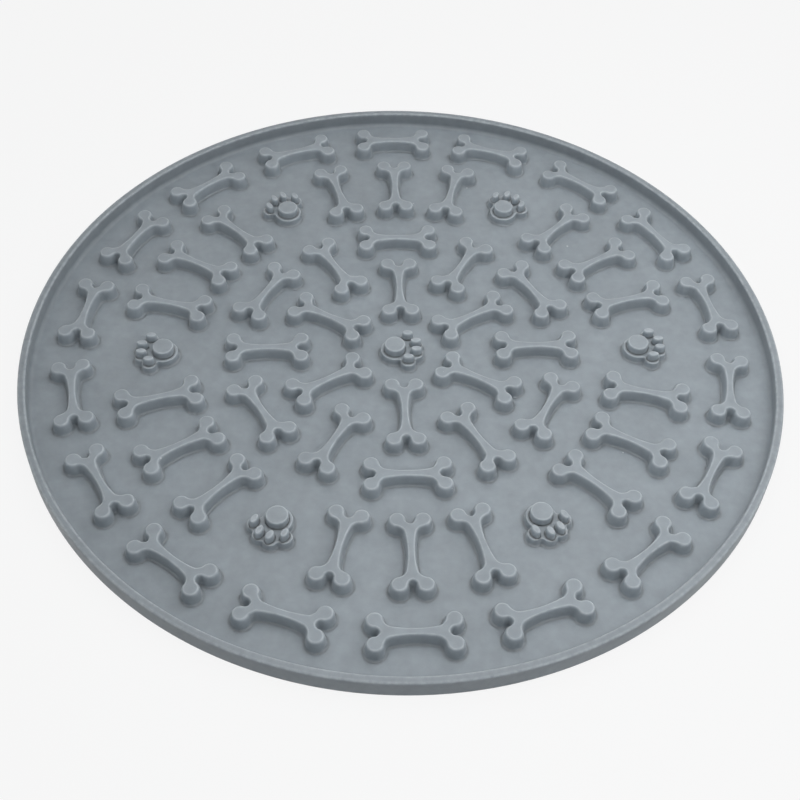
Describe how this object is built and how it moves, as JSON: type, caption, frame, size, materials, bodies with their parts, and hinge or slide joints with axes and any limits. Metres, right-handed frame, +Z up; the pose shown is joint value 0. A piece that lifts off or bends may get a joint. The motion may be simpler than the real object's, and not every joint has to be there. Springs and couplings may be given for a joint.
{
  "type": "lick mat",
  "caption": "Round flexible silicone lick mat: a thin flat sheet with a low raised rim, rings of raised bone shapes and small raised paws that hold spread food.",
  "frame": {"origin": "centre of the flat underside", "axes": "+Z up out of the textured face, +X through a paw and along the centre paw's toes"},
  "size_m": [0.2, 0.2, 0.0055],
  "materials": {
    "silicone": "matt blue-grey moulded silicone with a soft sheen and slightly lighter edges"
  },
  "bodies": {
    "root": {"sheet": "silicone", "rim": "silicone", "centre_paw": "silicone", "paw_1": "silicone", "paw_2": "silicone", "paw_3": "silicone", "paw_4": "silicone", "paw_5": "silicone", "paw_6": "silicone", "inner_bone_1": "silicone", "inner_bone_2": "silicone", "inner_bone_3": "silicone", "inner_bone_4": "silicone", "inner_bone_5": "silicone", "inner_bone_6": "silicone", "spoke_bone_1": "silicone", "spoke_bone_2": "silicone", "spoke_bone_3": "silicone", "spoke_bone_4": "silicone", "spoke_bone_5": "silicone", "spoke_bone_6": "silicone", "cross_bone_1": "silicone", "cross_bone_2": "silicone", "cross_bone_3": "silicone", "cross_bone_4": "silicone", "cross_bone_5": "silicone", "cross_bone_6": "silicone", "bone_fan_1": "silicone", "bone_fan_2": "silicone", "bone_fan_3": "silicone", "bone_fan_4": "silicone", "bone_fan_5": "silicone", "bone_fan_6": "silicone", "edge_bone_1": "silicone", "edge_bone_2": "silicone", "edge_bone_3": "silicone", "edge_bone_4": "silicone", "edge_bone_5": "silicone", "edge_bone_6": "silicone", "edge_bone_7": "silicone", "edge_bone_8": "silicone", "edge_bone_9": "silicone", "edge_bone_10": "silicone", "edge_bone_11": "silicone", "edge_bone_12": "silicone", "edge_bone_13": "silicone", "edge_bone_14": "silicone", "edge_bone_15": "silicone", "edge_bone_16": "silicone", "edge_bone_17": "silicone", "edge_bone_18": "silicone"}
  },
  "joints": []
}
